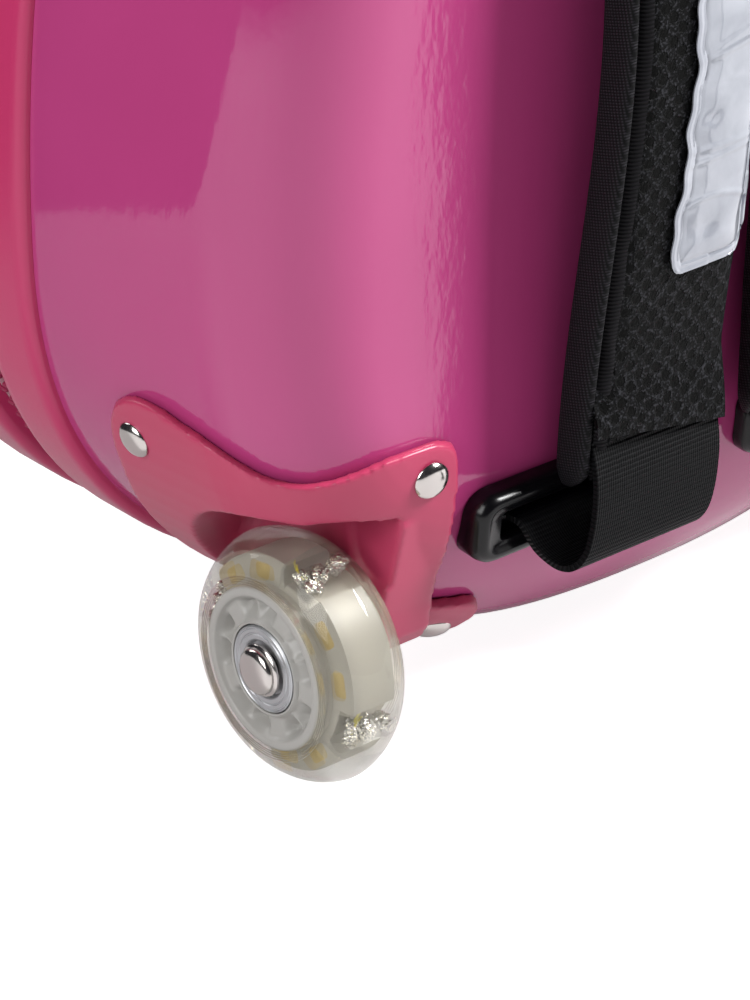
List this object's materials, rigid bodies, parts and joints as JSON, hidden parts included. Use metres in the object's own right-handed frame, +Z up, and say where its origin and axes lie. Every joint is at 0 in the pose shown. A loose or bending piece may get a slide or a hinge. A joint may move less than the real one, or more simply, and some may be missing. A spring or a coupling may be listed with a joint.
{
  "type": "children's trolley backpack",
  "caption": "Hard-shell egg-shaped trolley backpack for a child: hinged zip lid, light-up wheels in corner housings, padded shoulder straps, pull-out handle and top carry handle.",
  "frame": {"origin": "on the floor, under the middle of the bounding box", "axes": "+Z up, +X to the right seen from behind the case (the strap side), +Y from the strap side to the lid; the zip runs round in the plane y = 0.02755"},
  "size_m": [0.28, 0.2231, 0.4005],
  "materials": {
    "pink_shell": "clear-coated film, high gloss",
    "rim_pink": "smooth moulded, satin",
    "housing_pink": "smooth moulded, satin",
    "zip_tape": "woven tape with coil",
    "zip_metal": "plated die casting",
    "plated_steel": "polished zinc plate",
    "clear_tyre": "clear cast polyurethane",
    "white_hub": "smooth moulded",
    "reflective_film": "silvery reflective film",
    "spacer_mesh": "spacer mesh",
    "black_webbing": "ribbed woven webbing",
    "aluminium_tube": "drawn and anodised",
    "black_rubber": "matte",
    "lining": "woven lining",
    "black_plastic": "glossy moulded"
  },
  "bodies": {
    "case": {"rear_shell": "pink_shell", "rear_rim": "rim_pink", "rear_zip_tape": "zip_tape", "strap_yoke": "black_webbing", "handle_bezel": "black_plastic", "handle_base": "black_plastic", "packing_buckle": "black_plastic", "left_wheel_housing": "housing_pink", "left_rivet_1": "plated_steel", "left_rivet_2": "plated_steel", "left_rivet_3": "plated_steel", "left_axle": "plated_steel", "left_magnet_sleeve": "plated_steel", "left_strap_bracket": "black_plastic", "left_strap_backing": "black_plastic", "left_lower_webbing": "black_webbing", "left_shoulder_pad": "spacer_mesh", "left_reflective_strip": "reflective_film", "left_outer_tube": "aluminium_tube", "left_carry_mount": "black_plastic", "left_packing_strap": "black_webbing", "right_wheel_housing": "housing_pink", "right_rivet_1": "plated_steel", "right_rivet_2": "plated_steel", "right_rivet_3": "plated_steel", "right_axle": "plated_steel", "right_magnet_sleeve": "plated_steel", "right_strap_bracket": "black_plastic", "right_strap_backing": "black_plastic", "right_lower_webbing": "black_webbing", "right_shoulder_pad": "spacer_mesh", "right_reflective_strip": "reflective_film", "right_outer_tube": "aluminium_tube", "right_carry_mount": "black_plastic", "right_packing_strap": "black_webbing"},
    "lid": {"front_shell": "pink_shell", "front_rim": "rim_pink", "front_zip_tape": "zip_tape", "lid_pocket": "lining", "left_front_foot": "black_rubber", "right_front_foot": "black_rubber"},
    "left_wheel": {"left_tyre": "clear_tyre", "left_hub": "white_hub", "left_outer_bearing": "plated_steel", "left_inner_bearing": "plated_steel"},
    "right_wheel": {"right_tyre": "clear_tyre", "right_hub": "white_hub", "right_outer_bearing": "plated_steel", "right_inner_bearing": "plated_steel"},
    "handle_middle": {"left_middle_tube": "aluminium_tube", "right_middle_tube": "aluminium_tube"},
    "handle_upper": {"left_inner_tube": "aluminium_tube", "right_inner_tube": "aluminium_tube", "handle_grip": "black_plastic"},
    "release_button": {"release_button": "black_rubber"},
    "left_slider": {"left_zip_slider": "zip_metal"},
    "right_slider": {"right_zip_slider": "zip_metal"},
    "left_pull": {"left_zip_pull": "zip_metal"},
    "right_pull": {"right_zip_pull": "zip_metal"},
    "carry_handle": {"carry_handle": "black_plastic"}
  },
  "joints": [
    {"name": "lid_hinge", "type": "hinge", "parent": "case", "child": "lid", "pos_m": [0.1405, 0.02755, 0.125], "axis": [0, 0, -1], "range_deg": [0, 170]},
    {"name": "left_wheel_spin", "type": "hinge", "parent": "case", "child": "left_wheel", "pos_m": [-0.114, -0.07085, 0.032], "axis": [1, 0, 0], "continuous": true},
    {"name": "right_wheel_spin", "type": "hinge", "parent": "case", "child": "right_wheel", "pos_m": [0.114, -0.07085, 0.032], "axis": [1, 0, 0], "continuous": true},
    {"name": "middle_tube_slide", "type": "slide", "parent": "case", "child": "handle_middle", "axis": [0, 0, 1], "range_m": [0, 0.19]},
    {"name": "inner_tube_slide", "type": "slide", "parent": "handle_middle", "child": "handle_upper", "axis": [0, 0, 1], "range_m": [0, 0.19]},
    {"name": "release_button_press", "type": "slide", "parent": "handle_upper", "child": "release_button", "axis": [0, 0, -1], "range_m": [0, 0.003], "stiffness_N_per_m": 300},
    {"name": "left_slider_run", "type": "hinge", "parent": "case", "child": "left_slider", "pos_m": [0, 0.02755, 0.30122], "axis": [0, -1, 0], "range_deg": [0, 14]},
    {"name": "left_pull_swing", "type": "hinge", "parent": "left_slider", "child": "left_pull", "pos_m": [-0.00832, 0.02755, 0.38016], "axis": [0, 1, 0], "range_deg": [0, 150]},
    {"name": "right_slider_run", "type": "hinge", "parent": "case", "child": "right_slider", "pos_m": [0, 0.02755, 0.30122], "axis": [0, 1, 0], "range_deg": [0, 14]},
    {"name": "right_pull_swing", "type": "hinge", "parent": "right_slider", "child": "right_pull", "pos_m": [0.00832, 0.02755, 0.38016], "axis": [0, -1, 0], "range_deg": [0, 150]},
    {"name": "carry_handle_swing", "type": "hinge", "parent": "case", "child": "carry_handle", "pos_m": [0, -0.02445, 0.371], "axis": [1, 0, 0], "range_deg": [-46, 46]}
  ]
}
